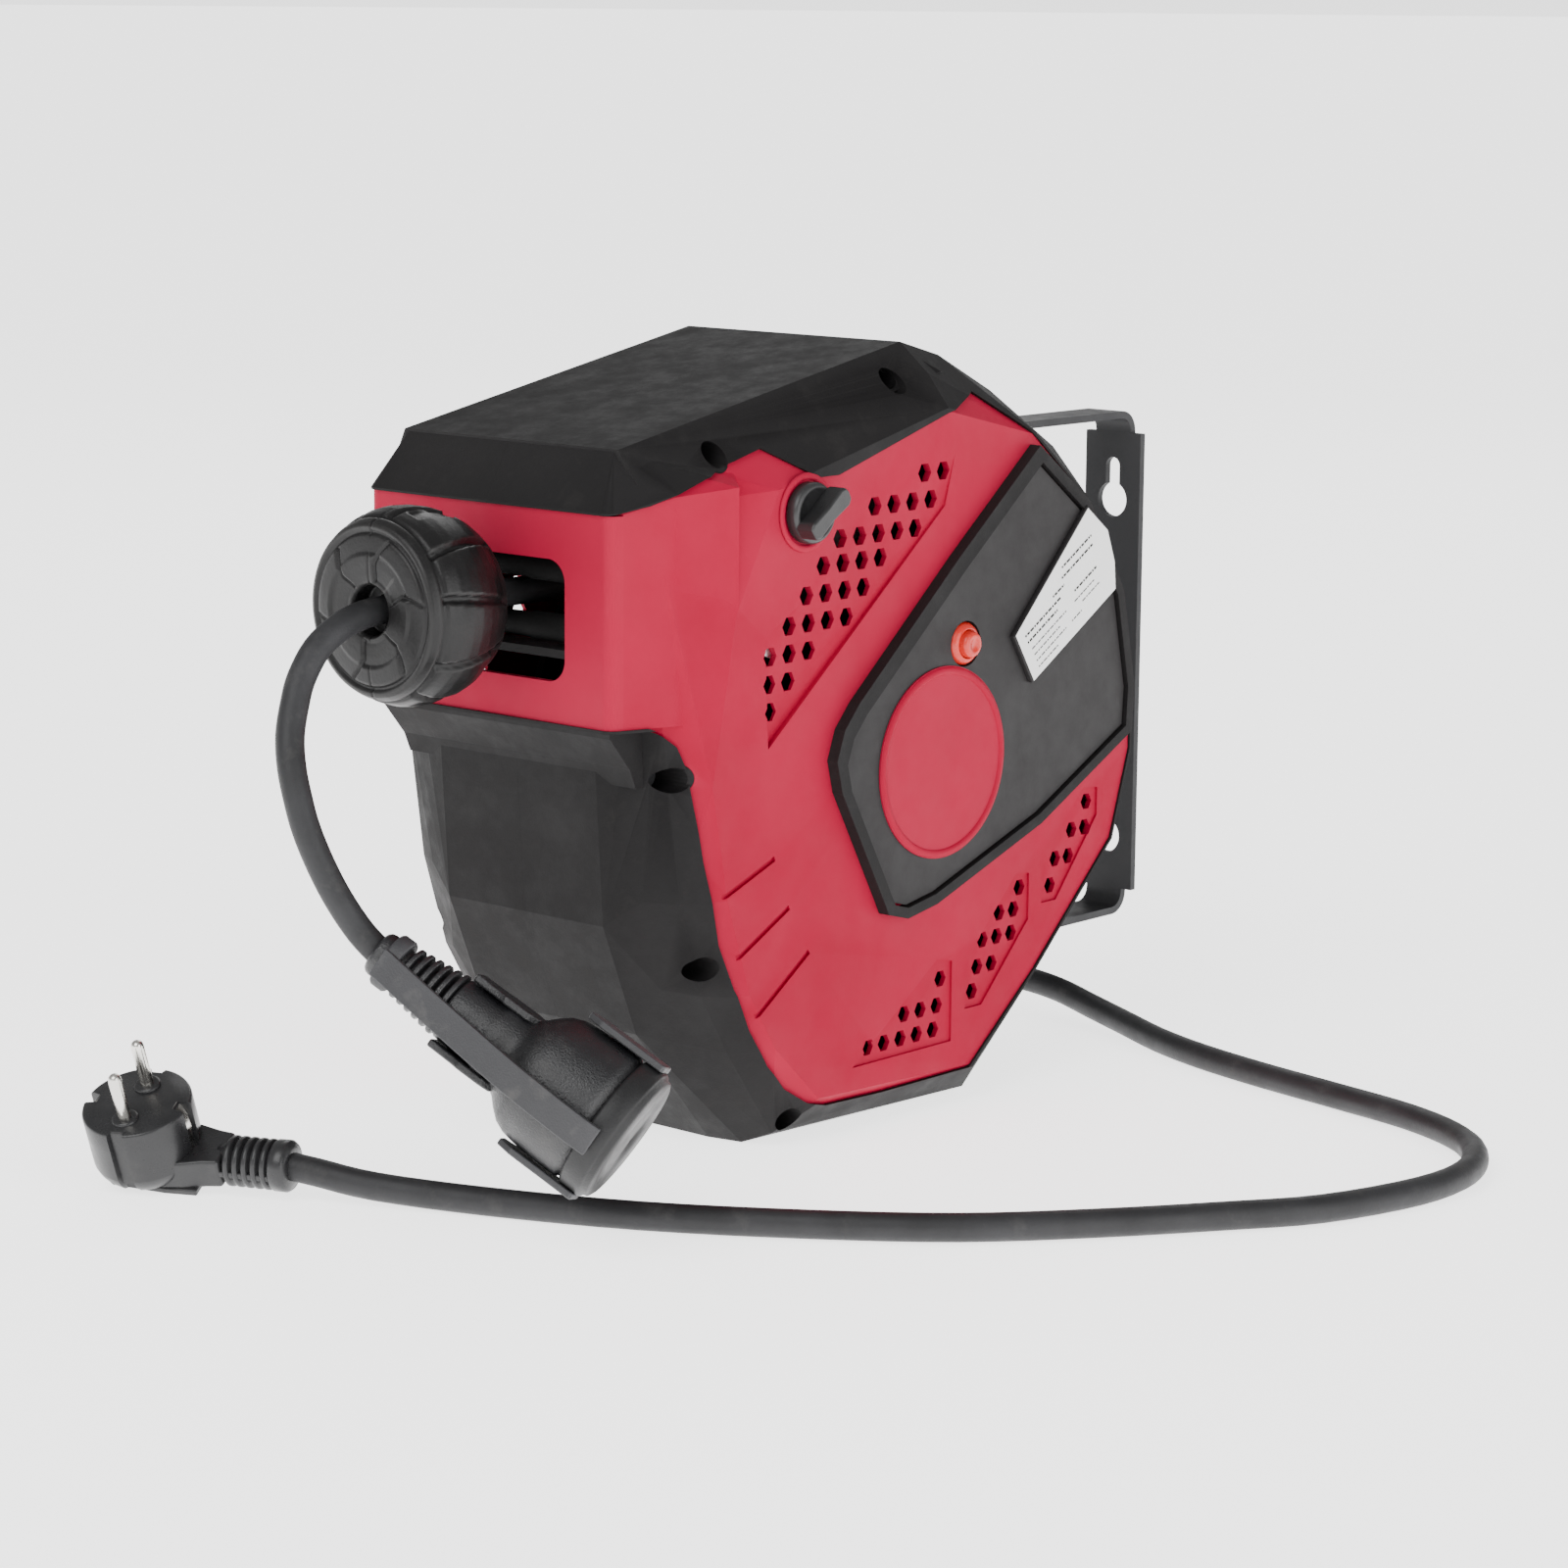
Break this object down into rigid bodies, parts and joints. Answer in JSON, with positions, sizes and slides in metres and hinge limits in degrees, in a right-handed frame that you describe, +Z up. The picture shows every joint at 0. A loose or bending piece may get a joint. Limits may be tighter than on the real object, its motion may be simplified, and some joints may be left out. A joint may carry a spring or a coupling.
{
  "type": "extension cord reel",
  "caption": "Spring-rewind extension cord reel on a swivelling wall bracket, with vented housing, stopper ball, moulded socket and supply lead with plug.",
  "frame": {"origin": "midway between the two bracket keyholes, on the plate's face that lies against the wall", "axes": "+Y into the wall, -Y along the outgoing cable, +Z up, +X towards the side with the knob and the label"},
  "size_m": [0.3679, 0.4989, 0.2881],
  "materials": {
    "black_steel": "satin black paint",
    "zinc": "bright zinc plate",
    "red_plastic": "fine matte grain, deep red",
    "black_cover": "matte grained black",
    "dark_panel": "smooth dark grey",
    "white_label": "printed film",
    "roller_nylon": "natural nylon",
    "drum_plastic": "moulded black",
    "bronze": "sintered bronze",
    "cable_rubber": "matte rubber",
    "insulator": "moulded insulator",
    "brass_ring": "turned brass",
    "carbon": "graphite",
    "spring_steel": "blued spring steel",
    "gloss_black": "glossy black",
    "button_red": "glossy red",
    "nickel": "nickel plate"
  },
  "bodies": {
    "bracket": {"wall_bracket": "black_steel", "swivel_rod": "zinc", "swivel_nut": "zinc", "swivel_washers": "zinc"},
    "housing": {"right_shell": "red_plastic", "left_shell": "red_plastic", "front_panel": "red_plastic", "top_cover_right": "black_cover", "top_cover_left": "black_cover", "lower_cover_right": "black_cover", "lower_cover_left": "black_cover", "hinge_barrel": "black_cover", "right_panel": "dark_panel", "right_trim": "black_cover", "left_panel": "dark_panel", "left_trim": "black_cover", "badge_right": "red_plastic", "badge_left": "red_plastic", "rating_label": "white_label", "housing_screws": "black_steel", "outlet_frame": "black_cover", "roller_pins": "zinc", "drum_axle": "zinc", "axle_bosses": "drum_plastic", "brush_holder": "drum_plastic", "carbon_brushes": "carbon", "thermal_cutout": "button_red", "pawl_pin": "zinc", "cable_gland": "cable_rubber", "supply_lead": "cable_rubber", "plug_body": "gloss_black", "plug_pins": "nickel", "plug_earth_clips": "nickel"},
    "drum": {"drum_core": "drum_plastic", "drum_bushes": "bronze", "drum_flange_right": "drum_plastic", "drum_flange_left": "drum_plastic", "wound_cable": "cable_rubber", "ratchet_ring": "zinc", "slip_ring_carrier": "insulator", "slip_rings": "brass_ring", "spring_case": "spring_steel", "spring_cover": "spring_steel", "power_spring": "spring_steel"},
    "pull": {"stopper_right": "gloss_black", "stopper_left": "gloss_black", "stopper_screws": "zinc", "inner_lead": "cable_rubber", "output_lead": "cable_rubber", "socket_body": "gloss_black", "socket_contacts": "brass_ring", "cap_strap": "cable_rubber"},
    "cap": {"socket_cap": "cable_rubber"},
    "button": {"reset_button": "button_red"},
    "knob": {"lock_knob": "black_cover"},
    "catch": {"catch_pawl": "zinc"},
    "roller_top": {"upper_roller": "roller_nylon"},
    "roller_bottom": {"lower_roller": "roller_nylon"}
  },
  "joints": [
    {"name": "swivel", "type": "hinge", "parent": "bracket", "child": "housing", "pos_m": [0, -0.084, 0], "axis": [0, 0, 1], "range_deg": [-80, 80]},
    {"name": "cable_pull", "type": "slide", "parent": "housing", "child": "pull", "axis": [0, -1, 0], "range_m": [0, 0.085]},
    {"name": "drum_spin", "type": "hinge", "parent": "housing", "child": "drum", "pos_m": [0, -0.208, -0.004], "axis": [1, 0, 0], "range_deg": [0, 54]},
    {"name": "knob_turn", "type": "hinge", "parent": "housing", "child": "knob", "pos_m": [0.078, -0.282, 0.095], "axis": [1, 0, 0], "range_deg": [-90, 0]},
    {"name": "catch_swing", "type": "hinge", "parent": "housing", "child": "catch", "pos_m": [0.042, -0.296, 0.05], "axis": [1, 0, 0], "range_deg": [-9.4, 0]},
    {"name": "reset_press", "type": "slide", "parent": "housing", "child": "button", "axis": [-1, 0, 0], "range_m": [0, 0.003], "stiffness_N_per_m": 400},
    {"name": "top_roller_spin", "type": "hinge", "parent": "housing", "child": "roller_top", "pos_m": [0, -0.354, 0.0771], "axis": [1, 0, 0], "continuous": true},
    {"name": "bottom_roller_spin", "type": "hinge", "parent": "housing", "child": "roller_bottom", "pos_m": [0, -0.354, 0.0559], "axis": [1, 0, 0], "continuous": true},
    {"name": "cap_pull", "type": "slide", "parent": "pull", "child": "cap", "axis": [0.7688, 0.3423, -0.5402], "range_m": [0, 0.012]}
  ],
  "couplings": [
    {"joint": "drum_spin", "follows": "cable_pull", "rad_per_m": 10.87},
    {"joint": "catch_swing", "follows": "knob_turn", "ratio": 0.1044}
  ]
}
